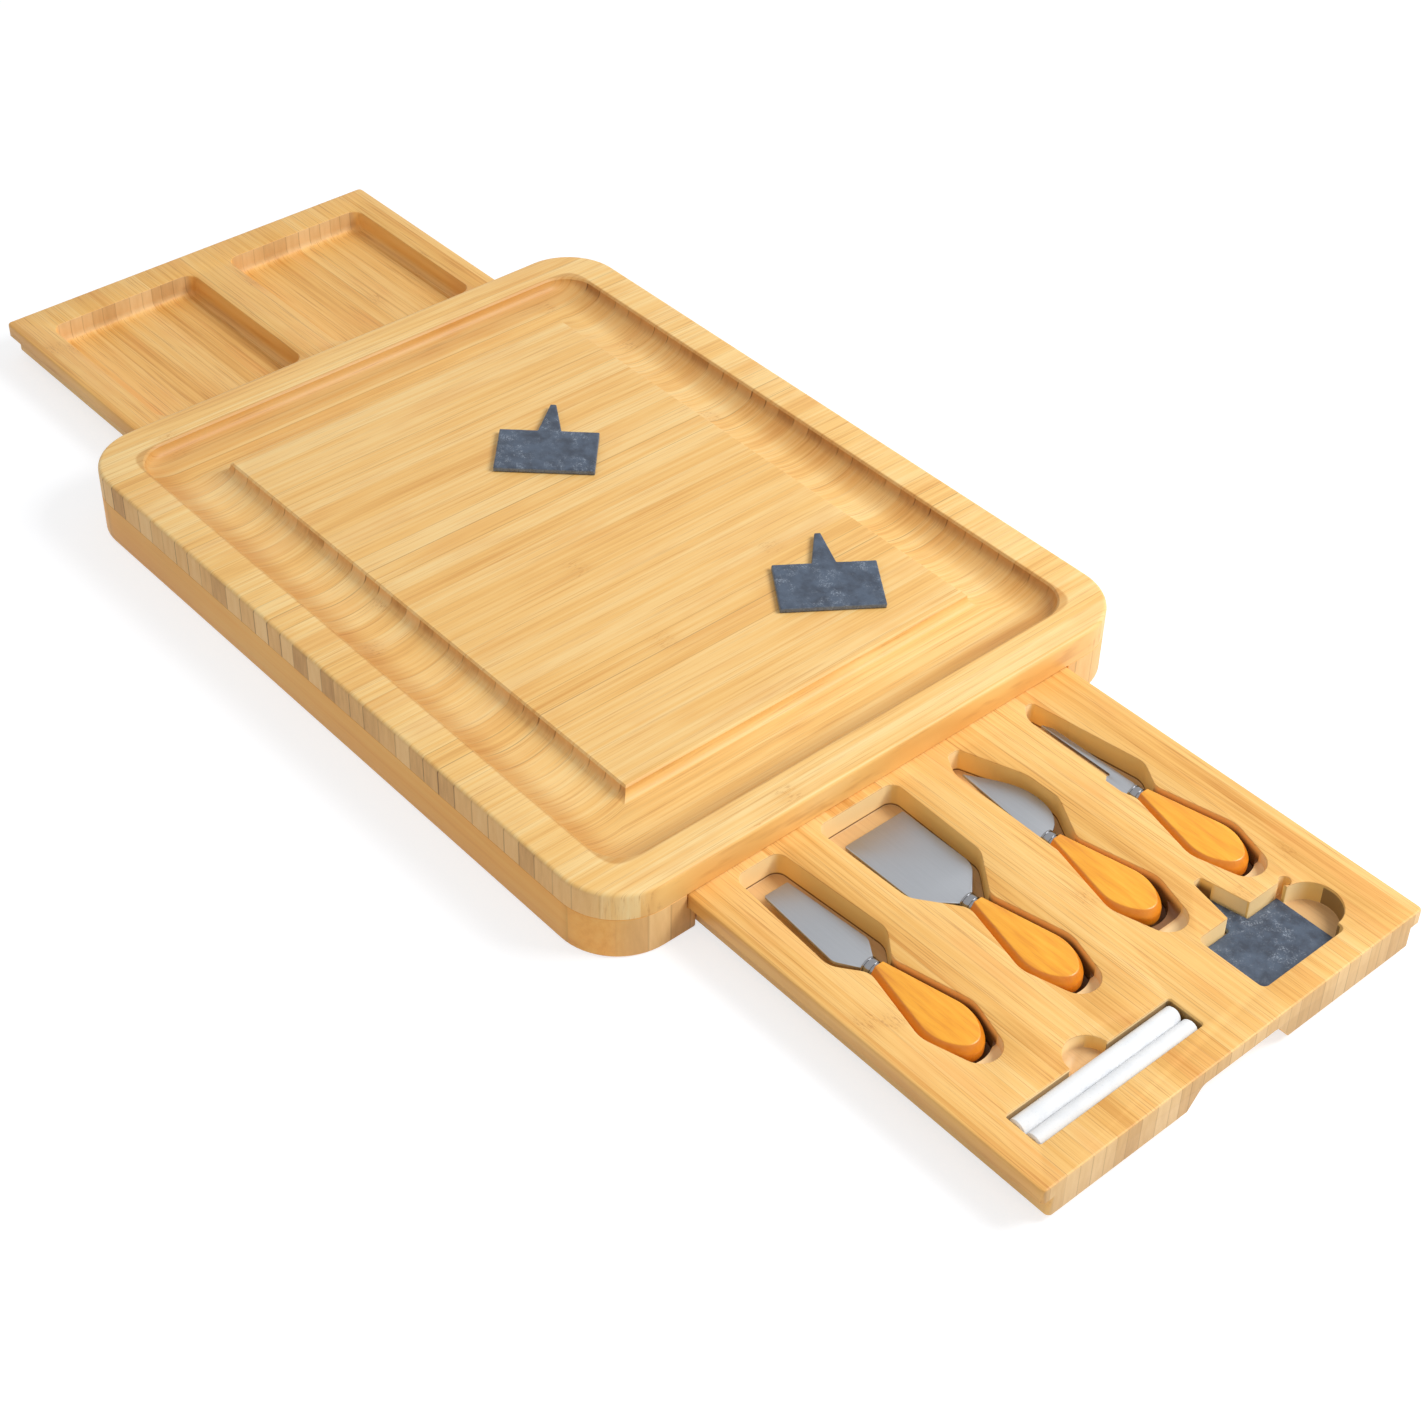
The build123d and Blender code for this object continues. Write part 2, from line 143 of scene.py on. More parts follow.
def ramp(tree, factor, places, colours):
    node = put(tree, "ShaderNodeValToRGB", {"Fac": factor})
    elements = node.color_ramp.elements
    while len(elements) < len(places):
        elements.new(1.0)
    for element, place, colour in zip(elements, places, colours):
        element.position = place
        element.color = colour
    return node.outputs["Color"]


# sRGB levels up to 255, turned into the linear colour that a socket takes
def paint(red, green, blue):
    levels = [c / 255 for c in (red, green, blue)]
    return tuple(c / 12.92 if c <= 0.04045 else ((c + 0.055) / 1.055) ** 2.4 for c in levels) + (1.0,)


# a new material with its tree, its shader's inputs, and the coordinates of the object's own space
def newMaterial(name):
    material = bpy.data.materials.new(name)
    material.use_nodes = True
    tree = material.node_tree
    return material, tree, tree.nodes["Principled BSDF"].inputs, put(tree, "ShaderNodeTexCoord").outputs


def roughen(tree, shader, height, strength, depth):
    bump = put(tree, "ShaderNodeBump", {"Strength": strength, "Distance": depth, "Height": height})
    wire(tree, shader["Normal"], bump.outputs["Normal"])


# bamboo: strips glued on edge, with fibres, node marks and end grain
# grain is the axis that the fibres follow, strip the width of a strip, spread how much the strips differ,
# broad and fine are patterns for streaks, thread, patch, jointDark and endJoint are shares of a tone,
# and upright is how much of the threads is left on walls

bambooLooks = {
    "platterBamboo": {
        "grain": "Y", "strip": 0.0115, "seed": 21.7, "broad": (6, 420, 30, 3, 0.6), "fine": (22, 1700, 120, 3, 0.6),
        "spread": 0.17, "thread": 0.4, "upright": 1.0, "patch": 0.22, "footShade": 0.0, "dished": True,
        "jointDark": 0.5, "endSpread": 0.62, "endJoint": 0.8, "joint": paint(112, 72, 34),
        "pale": paint(255, 228, 166), "light": paint(253, 214, 144), "middle": paint(248, 199, 120),
        "deep": paint(226, 166, 86), "warm": paint(228, 160, 84), "fibre": paint(186, 118, 52),
        "endPale": paint(250, 208, 146), "endMiddle": paint(236, 187, 121), "endDark": paint(194, 146, 88),
    },
    "railBamboo": {
        "grain": "X", "strip": 0.0115, "seed": 81.9, "broad": (6, 420, 200, 3, 0.6), "fine": (22, 1700, 800, 3, 0.6),
        "spread": 0.06, "thread": 0.2, "upright": 0.4, "patch": 0.12, "footShade": 0.0, "dished": False,
        "jointDark": 0.25, "endSpread": 0.45, "endJoint": 0.45, "joint": paint(128, 84, 40),
        "pale": paint(255, 206, 124), "light": paint(254, 194, 106), "middle": paint(250, 183, 92),
        "deep": paint(234, 160, 72), "warm": paint(222, 150, 70), "fibre": paint(176, 106, 46),
        "endPale": paint(242, 200, 138), "endMiddle": paint(228, 180, 116), "endDark": paint(200, 152, 92),
    },
    "drawerBamboo": {
        "grain": "X", "strip": 0.0076, "seed": 163.8, "broad": (6, 420, 90, 3, 0.6), "fine": (22, 1700, 360, 3, 0.6),
        "spread": 0.22, "thread": 0.55, "upright": 0.2, "patch": 0.28, "footShade": 0.9, "dished": False,
        "jointDark": 0.4, "endSpread": 0.5, "endJoint": 0.38, "joint": paint(122, 80, 38),
        "pale": paint(252, 210, 138), "light": paint(247, 198, 120), "middle": paint(240, 185, 102),
        "deep": paint(212, 146, 64), "warm": paint(236, 162, 86), "fibre": paint(168, 96, 34),
        "endPale": paint(234, 197, 143), "endMiddle": paint(219, 178, 121), "endDark": paint(192, 148, 94),
    },
}
# what the three woods share; a pair of numbers is the range over which a mark comes in or fades out
stripMarks = {
    "uneven": 0.45, "slide": 9.0, "drift": (9, 60, 30, 2, 0.5), "patch": (14, 26, 14, 3, 0.55),
    "broadShare": 0.62, "driftShare": 0.38, "tones": (0.22, 0.43, 0.58, 0.80), "wall": (0.3, 0.7),
    "threads": (0.52, 0.72), "patches": (0.50, 0.68), "joint": (0.0, 0.045), "jointLeast": 0.05,
    "jointChance": (0.45, 1.0), "jointSlope": (0.08, 0.4), "jointOnSlope": 0.25,
}
nodeMarks = {
    "perMetre": 3.1, "scatter": 5.0, "chosen": (0.68, 0.72), "level": (0.75, 0.95),
    "halo": (0.004, 0.04), "haloShare": 0.18, "cluster": (0.006, 0.022),
    "dashes": (300, 1700, 950, 2, 0.6), "dash": (0.52, 0.64), "dashShare": 0.38,
}
endMarks = {
    "cut": (0.62, 0.97), "cloud": (30, 300, 60, 3, 0.6), "cloudShare": 0.55, "tones": (0.25, 0.60, 1.0),
    "dots": (300, 2600, 1500, 2, 0.6), "dot": (0.55, 0.75), "dotShare": 0.10,
    "joint": (0.012, 0.06), "jointLeast": 0.12, "jointChance": (0.1, 0.95),
}
woodGloss = {
    "roughness": 0.38, "broadRoughness": 0.14, "endRoughness": 0.14, "specular": 0.4,
    "fineDepth": 0.6, "jointDepth": 0.7, "bump": 0.3, "bumpDepth": 0.00012,
}


# some strips show a node: a cluster of short brown dashes in a darker halo
def addNodes(tree, look, colour, axes, dark, shift, level):
    marks = nodeMarks
    along = total(tree, times(tree, axes[0], marks["perMetre"]), times(tree, dark, marks["scatter"]))
    near = calc(tree, "ABSOLUTE", calc(tree, "SUBTRACT", calc(tree, "FRACT", along), 0.5))
    marked = times(tree, ease(tree, shift, *marks["chosen"]), ease(tree, level, *marks["level"]))
    halo = ease(tree, near, *marks["halo"], marks["haloShare"], 0.0)
    colour = tint(tree, times(tree, halo, marked), colour, look["deep"])
    dashes = ease(tree, streaks(tree, axes, marks["dashes"]), *marks["dash"], 0.0, marks["dashShare"])
    dashes = times(tree, ease(tree, near, *marks["cluster"], 1.0, 0.0), dashes, marked)
    return tint(tree, dashes, colour, look["fibre"])


# end grain: greyer bars, dark joints and the cut ends of the fibres
def endGrain(tree, look, axes, tone, dark, seam):
    marks = endMarks
    bars = times(tree, restOf(tree, tone), look["endSpread"])
    bars = total(tree, bars, times(tree, streaks(tree, axes, marks["cloud"]), marks["cloudShare"]))
    colour = ramp(tree, bars, marks["tones"], (look["endPale"], look["endMiddle"], look["endDark"]))
    dots = ease(tree, streaks(tree, axes, marks["dots"]), *marks["dot"], 0.0, marks["dotShare"])
    colour = tint(tree, dots, colour, look["endDark"])
    chance = ease(tree, dark, *marks["jointChance"], marks["jointLeast"], look["endJoint"])
    joint = times(tree, ease(tree, seam, *marks["joint"], 1.0, 0.0), chance)
    return tint(tree, joint, colour, look["joint"])


# the routed pockets of the drawers: painted shade as a thin dark line where a wall meets the floor, and in the tool
# drawer dull floors, walls and finger ends tinted paler as painted light (end grain in the pockets pale too), and
# painted shadow in the gaps beside the handles and the chalk
pocketPlaces = {
    "halfWidth": 0.112, "reach": 0.3845, "floor": 0.0100, "floorSlack": 0.0002, "mouth": (0.0218, 0.0222),
    "handles": (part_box("chisel_handle")[0].x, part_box("chisel_handle")[1].x), "chalk": (0.3596, 0.3793),
    "fingerStart": (-0.0005, 0.0025), "fingerEnd": 0.017,
}
# in these tones the dark brown is painted shade, for the line at the foot of the walls and the gaps beside the
# chalk; the pale wall tint and the pale finger-end tint are painted light; the darkest brown is painted shadow
# beside the handles
pocketTones = {
    "shadeBrown": paint(82, 44, 16), "footShadeHeight": (0.00068, 0.0017), "floor": paint(216, 176, 126),
    "floorShare": 0.75, "wall": paint(255, 208, 122), "wallLightShare": 0.85, "paleGrainAndLight": paint(255, 226, 172),
    "paleGrainAndLightShare": 0.75, "gapShade": paint(96, 52, 20), "gapShadeShare": 0.85, "gapShadeHeight": (0.0165, 0.0214),
    "chalkShadeShare": 0.72, "chalkShadeHeight": (0.0205, 0.0216),
}


def addPockets(tree, look, colour, spot, onWall, cut):
    x, y, z = spot
    place, tone = pocketPlaces, pocketTones
    inside = times(tree, within(tree, y, 0.0, place["halfWidth"]), within(tree, x, 0.0, place["reach"]))
    over = calc(tree, "GREATER_THAN", z, place["floor"] - place["floorSlack"])
    # painted shade: a thin dark line at the foot of the pocket walls, just above the floor
    low = ease(tree, calc(tree, "SUBTRACT", z, place["floor"]), *tone["footShadeHeight"], 1.0, 0.0)
    footShade = times(tree, low, over, onWall, inside)
    colour = tint(tree, times(tree, footShade, look["footShade"]), colour, tone["shadeBrown"])

    sunk = times(tree, inside, ease(tree, z, *place["mouth"], 1.0, 0.0), calc(tree, "GREATER_THAN", x, 0.0))
    colour = tint(tree, times(tree, sunk, restOf(tree, onWall), tone["floorShare"]), colour, tone["floor"])
    aboveFootShade = times(tree, sunk, restOf(tree, footShade))
    # painted light: the pocket walls, which lie in shade, are tinted paler
    colour = tint(tree, times(tree, aboveFootShade, onWall, tone["wallLightShare"]), colour, tone["wall"])
    start, end = place["handles"]
    # painted light: the shaded finger ends beyond the handles are tinted pale; end grain inside the pockets takes
    # the same pale tone
    finger = ease(tree, x, *(end + step for step in place["fingerStart"]))
    finger = times(tree, finger, calc(tree, "LESS_THAN", x, end + place["fingerEnd"]))
    paleGrainAndLight = times(tree, calc(tree, "MAXIMUM", cut, finger), aboveFootShade)
    colour = tint(tree, times(tree, paleGrainAndLight, tone["paleGrainAndLightShare"]), colour, tone["paleGrainAndLight"])

    # painted shadow: dark brown in the deep gaps beside the handles, strongest near the floor
    beside = times(tree, within(tree, x, (start + end) / 2, (end - start) / 2), inside, over)
    gapShade = ease(tree, z, *tone["gapShadeHeight"], tone["gapShadeShare"], 0.0)
    colour = tint(tree, times(tree, gapShade, beside), colour, tone["gapShade"])
    # painted shadow: the walls of the chalk pocket are darkened up to just below its top
    start, end = place["chalk"]
    beside = times(tree, within(tree, x, (start + end) / 2, (end - start) / 2), sunk, onWall)
    shade = ease(tree, z, *tone["chalkShadeHeight"], tone["chalkShadeShare"], 0.0)
    return tint(tree, times(tree, beside, shade), colour, tone["shadeBrown"])


# the platter's channel is darkened with painted shade, darkest at the foot of its outer wall, and the plateau a
# little deeper in tone than the rim; outer, foot, inner and edge are insets from the platter's edge
dishTones = {
    "channelShade": paint(214, 190, 158), "channelShadeShare": 0.75, "outer": 0.0195, "outerSoft": 0.0006, "foot": 0.026,
    "inner": 0.041, "edge": 0.056, "edgeSoft": 0.004, "plateauShare": 0.16, "cornerSoft": 0.02,
}


def addDish(tree, look, colour, spot):
    tone = dishTones
    low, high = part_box("platter_top")
    middle, half = (low + high) / 2, (high - low) / 2
    gaps = []
    for axis in (0, 1):
        away = calc(tree, "ABSOLUTE", calc(tree, "SUBTRACT", spot[axis], middle[axis]))
        gaps.append(calc(tree, "SUBTRACT", half[axis], away))
    inputs = {0: gaps[0], 1: gaps[1], 2: tone["cornerSoft"]}
    inset = put(tree, "ShaderNodeMath", inputs, operation="SMOOTH_MIN").outputs[0]
    # painted shade in the channel, strongest at the foot of its outer wall
    dished = times(tree, ease(tree, inset, tone["outer"] - tone["outerSoft"], tone["outer"] + tone["outerSoft"]),
                   ease(tree, inset, tone["foot"], tone["inner"], tone["channelShadeShare"], 0.0))
    colour = tint(tree, dished, colour, tint(tree, 1.0, colour, tone["channelShade"], "MULTIPLY"))
    plateau = ease(tree, inset, tone["edge"], tone["edge"] + tone["edgeSoft"], 0.0, tone["plateauShare"])
    return tint(tree, plateau, colour, look["deep"])


def bambooMaterial(name, look):
    material, tree, shader, place = newMaterial(name)
    marks, gloss = stripMarks, woodGloss
    spot, facing = split(tree, place["Object"]), split(tree, place["Normal"])
    across = {"X": "Y", "Y": "X"}[look["grain"]]
    u, v, w = spot[look["grain"]], spot[across], spot["Z"]
    slope = calc(tree, "ABSOLUTE", facing[look["grain"]])
    level = calc(tree, "ABSOLUTE", facing["Z"])
    onWall = ease(tree, level, *marks["wall"], 1.0, 0.0)
    cut = ease(tree, slope, *endMarks["cut"])

    # one strip of the lamination, with random numbers of its own
    number = calc(tree, "ADD", calc(tree, "DIVIDE", v, look["strip"]), look["seed"])
    inputs = {"W": number, "Scale": 1.0, "Randomness": marks["uneven"]}
    cell = put(tree, "ShaderNodeTexVoronoi", inputs, voronoi_dimensions="1D")
    seam = put(tree, "ShaderNodeTexVoronoi", inputs, voronoi_dimensions="1D", feature="DISTANCE_TO_EDGE")
    seam = seam.outputs["Distance"]
    tone, dark, shift = put(tree, "ShaderNodeSeparateColor", {0: cell.outputs["Color"]}).outputs

    # fibres run along the strip, and each strip is cut from another place
    slid = (total(tree, u, times(tree, shift, marks["slide"])), v, w)
    broad, fine = streaks(tree, slid, look["broad"]), streaks(tree, slid, look["fine"])
    drift, patch = streaks(tree, slid, marks["drift"]), streaks(tree, slid, marks["patch"])
    shade = total(tree, times(tree, tone, look["spread"]), times(tree, broad, marks["broadShare"]),
                  times(tree, drift, marks["driftShare"]), -look["spread"] / 2)
    colour = ramp(tree, shade, marks["tones"], (look["deep"], look["middle"], look["light"], look["pale"]))
    threads = ease(tree, fine, *marks["threads"], 0.0, look["thread"])
    threads = times(tree, threads, ease(tree, onWall, 0.0, 1.0, 1.0, look["upright"]))
    colour = tint(tree, threads, colour, look["fibre"])
    colour = tint(tree, ease(tree, patch, *marks["patches"], 0.0, look["patch"]), colour, look["warm"])
    joint = times(tree, ease(tree, seam, *marks["joint"], 1.0, 0.0),
                  ease(tree, dark, *marks["jointChance"], marks["jointLeast"], look["jointDark"]),
                  ease(tree, slope, *marks["jointSlope"], 1.0, marks["jointOnSlope"]))
    colour = tint(tree, joint, colour, look["joint"])
    colour = addNodes(tree, look, colour, (u, v, w), dark, shift, level)
    colour = tint(tree, cut, colour, endGrain(tree, look, (u, v, w), tone, dark, seam))
    # the drawers get painted shade and painted light in their pockets
    if look["footShade"]:
        colour = addPockets(tree, look, colour, spot, onWall, cut)
    if look["dished"]:
        colour = addDish(tree, look, colour, spot)
    wire(tree, shader["Base Color"], colour)

    rough = total(tree, times(tree, broad, gloss["broadRoughness"]), times(tree, cut, gloss["endRoughness"]))
    wire(tree, shader["Roughness"], total(tree, rough, gloss["roughness"]))
    shader["Specular IOR Level"].default_value = gloss["specular"]
    sunk = times(tree, joint, gloss["jointDepth"])
    relief = calc(tree, "SUBTRACT", times(tree, fine, gloss["fineDepth"]), sunk)
    roughen(tree, shader, relief, gloss["bump"], gloss["bumpDepth"])
    return material


# the other finishes, where a pair of numbers is again the range over which a mark comes in or fades out

handleLook = {
    "light": paint(255, 184, 54), "middle": paint(250, 170, 38), "deep": paint(232, 144, 26),
    "broad": (30, 330, 300, 3, 0.6), "fine": (90, 1900, 1800, 2, 0.6), "tones": (0.28, 0.50, 0.72),
    "vein": paint(200, 112, 20), "veins": (0.54, 0.76), "veinShare": 0.3,
    "bevel": paint(222, 124, 24), "bevelShadeLevels": (0.72, 0.97), "bevelShadeShare": 0.7,
    "roughness": 0.30, "fineRoughness": 0.12, "coat": 0.15, "coatRoughness": 0.25,
    "bump": 0.25, "bumpDepth": 0.0001,
}


def handleMaterial(look):
    material, tree, shader, place = newMaterial("handleWood")
    spot = split(tree, place["Object"])
    broad, fine = streaks(tree, spot, look["broad"]), streaks(tree, spot, look["fine"])
    colour = ramp(tree, broad, look["tones"], (look["deep"], look["middle"], look["light"]))
    colour = tint(tree, ease(tree, fine, *look["veins"], 0.0, look["veinShare"]), colour, look["vein"])
    # painted shade: the sloped facets of a handle are tinted darker orange than its flat top
    level = calc(tree, "ABSOLUTE", split(tree, place["Normal"])["Z"])
    colour = tint(tree, ease(tree, level, *look["bevelShadeLevels"], look["bevelShadeShare"], 0.0), colour, look["bevel"])
    wire(tree, shader["Base Color"], colour)
    wire(tree, shader["Roughness"], total(tree, times(tree, fine, look["fineRoughness"]), look["roughness"]))
    shader["Coat Weight"].default_value = look["coat"]
    shader["Coat Roughness"].default_value = look["coatRoughness"]
    roughen(tree, shader, fine, look["bump"], look["bumpDepth"])
    return material


steelLooks = {
    "bladeSteel": {"colour": paint(170, 173, 178), "roughness": 0.32, "lines": (40, 2600, 400, 3, 0.6)},
    "collarSteel": {"colour": paint(146, 147, 151), "roughness": 0.16, "lines": (2600, 60, 60, 3, 0.6)},
}
steelWear = {
    "smudge": (60, 60, 60, 3, 0.5), "dim": 0.94, "dimmed": (0.3, 0.7), "lineRoughness": 0.04,
    "smudgeRoughness": 0.08, "bump": 0.05, "bumpDepth": 0.00002,
}


def steelMaterial(name, look, wear):
    material, tree, shader, place = newMaterial(name)
    spot = split(tree, place["Object"])
    lines, smudge = streaks(tree, spot, look["lines"]), streaks(tree, spot, wear["smudge"])
    dim = tuple(c * wear["dim"] for c in look["colour"][:3]) + (1.0,)
    wire(tree, shader["Base Color"], tint(tree, ease(tree, lines, *wear["dimmed"]), dim, look["colour"]))
    shader["Metallic"].default_value = 1.0
    worn = total(tree, times(tree, lines, wear["lineRoughness"]), times(tree, smudge, wear["smudgeRoughness"]))
    wire(tree, shader["Roughness"], total(tree, worn, look["roughness"]))
    roughen(tree, shader, lines, wear["bump"], wear["bumpDepth"])
    return material


# cloud, cluster, wisp, speck and pore are noise: its scale, detail, roughness and sometimes distortion
slateLook = {
    "dark": paint(46, 56, 72), "middle": paint(74, 88, 107), "dust": paint(162, 173, 187),
    "chip": paint(128, 138, 150), "chips": (0.3, 0.6), "chipShares": (0.25, 0.7),
    "cloud": (110, 4, 0.6), "clouds": (0.30, 0.66), "wisp": (210, 6, 0.75, 0.2), "wisps": (0.46, 0.66),
    "wispShare": 0.75, "speck": (1300, 3, 0.7), "specks": (0.48, 0.60), "speckLeast": 0.1,
    "cluster": (55, 2, 0.5), "clusters": (0.42, 0.60), "clusterLeast": 0.2,
    "roughness": 0.48, "dustRoughness": 0.3, "speckDepth": 0.5, "bump": 0.5, "bumpDepth": 0.0002,
}


def slateMaterial(look):
    material, tree, shader, place = newMaterial("slateStone")
    cloud, cluster, wisp, speck = (
        cloudNoise(tree, place["Object"], *look[kind]) for kind in ("cloud", "cluster", "wisp", "speck"))
    colour = tint(tree, ease(tree, cloud, *look["clouds"]), look["dark"], look["middle"])
    dust = times(tree, ease(tree, wisp, *look["wisps"], 0.0, look["wispShare"]),
                 ease(tree, speck, *look["specks"], look["speckLeast"], 1.0),
                 ease(tree, cluster, *look["clusters"], look["clusterLeast"], 1.0))
    colour = tint(tree, dust, colour, look["dust"])
    edge = put(tree, "ShaderNodeAttribute", attribute_name="chipped").outputs["Fac"]
    chips = times(tree, edge, ease(tree, speck, *look["chips"], *look["chipShares"]))
    wire(tree, shader["Base Color"], tint(tree, chips, colour, look["chip"]))
    wire(tree, shader["Roughness"], total(tree, times(tree, dust, look["dustRoughness"]), look["roughness"]))
    relief = total(tree, times(tree, speck, look["speckDepth"]), cloud)
    roughen(tree, shader, relief, look["bump"], look["bumpDepth"])
    return material


chalkLook = {
    "white": paint(244, 245, 246), "soft": paint(233, 236, 240), "dust": paint(208, 213, 220),
    "cloud": (130, 3, 0.5), "clouds": (0.4, 0.7), "cloudShare": 0.6,
    "pore": (1500, 3, 0.7), "pores": (0.58, 0.72), "poreShare": 0.5,
    "roughness": 0.85, "specular": 0.25, "bump": 0.4, "bumpDepth": 0.0001,
}


def chalkMaterial(look):
    material, tree, shader, place = newMaterial("chalkStick")
    cloud, pores = (cloudNoise(tree, place["Object"], *look[kind]) for kind in ("cloud", "pore"))
    clouded = ease(tree, cloud, *look["clouds"], 0.0, look["cloudShare"])
    colour = tint(tree, clouded, look["white"], look["soft"])
    colour = tint(tree, ease(tree, pores, *look["pores"], 0.0, look["poreShare"]), colour, look["dust"])
    wire(tree, shader["Base Color"], colour)
    shader["Roughness"].default_value = look["roughness"]
    shader["Specular IOR Level"].default_value = look["specular"]
    roughen(tree, shader, pores, look["bump"], look["bumpDepth"])
    return material


bamboo = {name: bambooMaterial(name, look) for name, look in bambooLooks.items()}
handleWood = handleMaterial(handleLook)
steel = {name: steelMaterial(name, look, steelWear) for name, look in steelLooks.items()}
slateStone = slateMaterial(slateLook)
chalkStick = chalkMaterial(chalkLook)
print("materials ready")


# meshes taken from the solids, with their edges eased

# the loose triangles of a solid are joined, and those that lie flat together made one face
solidWeld = {"gap": 2e-6, "flat": 0.8}


def show(piece):
    bpy.context.scene.collection.objects.link(piece)
    return piece


def solidCopy(node, name):
    mesh = frame["nodes"][node].data.copy()
    mesh.name = name
    mesh.materials.clear()
    flat = math.radians(solidWeld["flat"])
    work = bmesh.new()
    work.from_mesh(mesh)
    bmesh.ops.remove_doubles(work, verts=work.verts, dist=solidWeld["gap"])
    bmesh.ops.dissolve_limit(work, angle_limit=flat, verts=work.verts, edges=work.edges)
    work.to_mesh(mesh)
    work.free()
    return show(bpy.data.objects.new(name, mesh))


# turns the piece's modifiers into plain mesh
def settle(piece):
    bpy.context.view_layer.update()
    graph = bpy.context.evaluated_depsgraph_get()
    mesh = bpy.data.meshes.new_from_object(piece.evaluated_get(graph))
    mesh.name = piece.name
    piece.modifiers.clear()
    piece.data = mesh
    return piece


def smoothByAngle(piece, degrees=40):
    piece.data.shade_smooth()
    piece.data.set_sharp_from_angle(angle=math.radians(degrees))


# rounds every edge sharper than the angle, but not those that lie at the height named by leave
def easeEdges(piece, width, segments=2, degrees=32, leave=None):
    work = bmesh.new()
    work.from_mesh(piece.data)
    weight = work.edges.layers.float.new("bevel_weight_edge")
    for edge in work.edges:
        level = leave is not None and all(abs(vertex.co.z - leave) < 0.1 * mm for vertex in edge.verts)
        sharp = len(edge.link_faces) == 2 and edge.calc_face_angle() > math.radians(degrees)
        edge[weight] = 1.0 if sharp and not level else 0.0
    work.to_mesh(piece.data)
    work.free()
    bevel = piece.modifiers.new("easedEdges", "BEVEL")
    bevel.width = width
    bevel.segments = segments
    bevel.limit_method = "WEIGHT"
    bevel.use_clamp_overlap = False
    settle(piece)
    smoothByAngle(piece)


# gives a piece its material and its body, and lets it stand for the nodes
def stand(piece, nodes, material):
    nodes = [nodes] if isinstance(nodes, str) else nodes
    piece.data.materials.clear()
    piece.data.materials.append(material)
    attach(piece, frame["nodes"][nodes[0]]["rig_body"])
    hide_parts(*nodes)


# geometry nodes

seamGap = 4e-6  # vertices nearer than this to each other are joined, at seams and poles


def sizedTree(name, inputs):
    tree = bpy.data.node_groups.new(name, "GeometryNodeTree")
    tree.is_modifier = True
    tree.interface.new_socket("Geometry", in_out="OUTPUT", socket_type="NodeSocketGeometry")
    for label, kind in inputs.items():
        tree.interface.new_socket(label, in_out="INPUT", socket_type="NodeSocket" + kind)
    return tree, tree.nodes.new("NodeGroupInput").outputs, tree.nodes.new("NodeGroupOutput").inputs


def grownPiece(name, tree, values):
    piece = show(bpy.data.objects.new(name, bpy.data.meshes.new(name)))
    modifier = piece.modifiers.new(tree.name, "NODES")
    modifier.node_group = tree
    for item in tree.interface.items_tree:
        if item.in_out == "INPUT":
            modifier[item.identifier] = values[item.name]
    return settle(piece)


# a loose mesh that only carries points into a tree
def pointCloud(name, points):
    mesh = bpy.data.meshes.new(name)
    mesh.from_pydata([tuple(point) for point in points], [], [])
    return show(bpy.data.objects.new(name, mesh))


# for each vertex of a grid: the point of the outline its row belongs to, and its number along the row
def outlineGrid(tree, outline, around):
    shape = put(tree, "GeometryNodeObjectInfo", {"Object": outline}).outputs["Geometry"]
    rows = put(tree, "GeometryNodeAttributeDomainSize", {"Geometry": shape}, component="MESH")
    grid = put(tree, "GeometryNodeMeshGrid", {"Vertices X": rows.outputs["Point Count"], "Vertices Y": around})
    number = put(tree, "GeometryNodeInputIndex").outputs[0]
    row = calc(tree, "FLOOR", calc(tree, "DIVIDE", calc(tree, "ADD", number, 0.5), around))
    column = calc(tree, "SUBTRACT", number, calc(tree, "MULTIPLY", row, around))
    place = put(tree, "GeometryNodeInputPosition").outputs[0]
    sample = put(tree, "GeometryNodeSampleIndex", {"Geometry": shape, "Value": place, "Index": row},
                 data_type="FLOAT_VECTOR", domain="POINT")
    return grid.outputs["Mesh"], split(tree, sample.outputs["Value"]), column


# moves the grid's vertices into place and joins the seam and the poles
def closedMesh(tree, grid, place):
    moved = put(tree, "GeometryNodeSetPosition", {"Geometry": grid, "Position": place}).outputs[0]
    joined = put(tree, "GeometryNodeMergeByDistance", {"Geometry": moved, "Distance": seamGap}).outputs[0]
    return put(tree, "GeometryNodeFlipFaces", {"Mesh": joined}).outputs[0]


def finishTree(tree, geometry, material, output):
    whole = put(tree, "GeometryNodeRealizeInstances", {"Geometry": geometry}).outputs[0]
    dressed = put(tree, "GeometryNodeSetMaterial", {"Geometry": whole, "Material": material}).outputs[0]
    wire(tree, output, dressed)


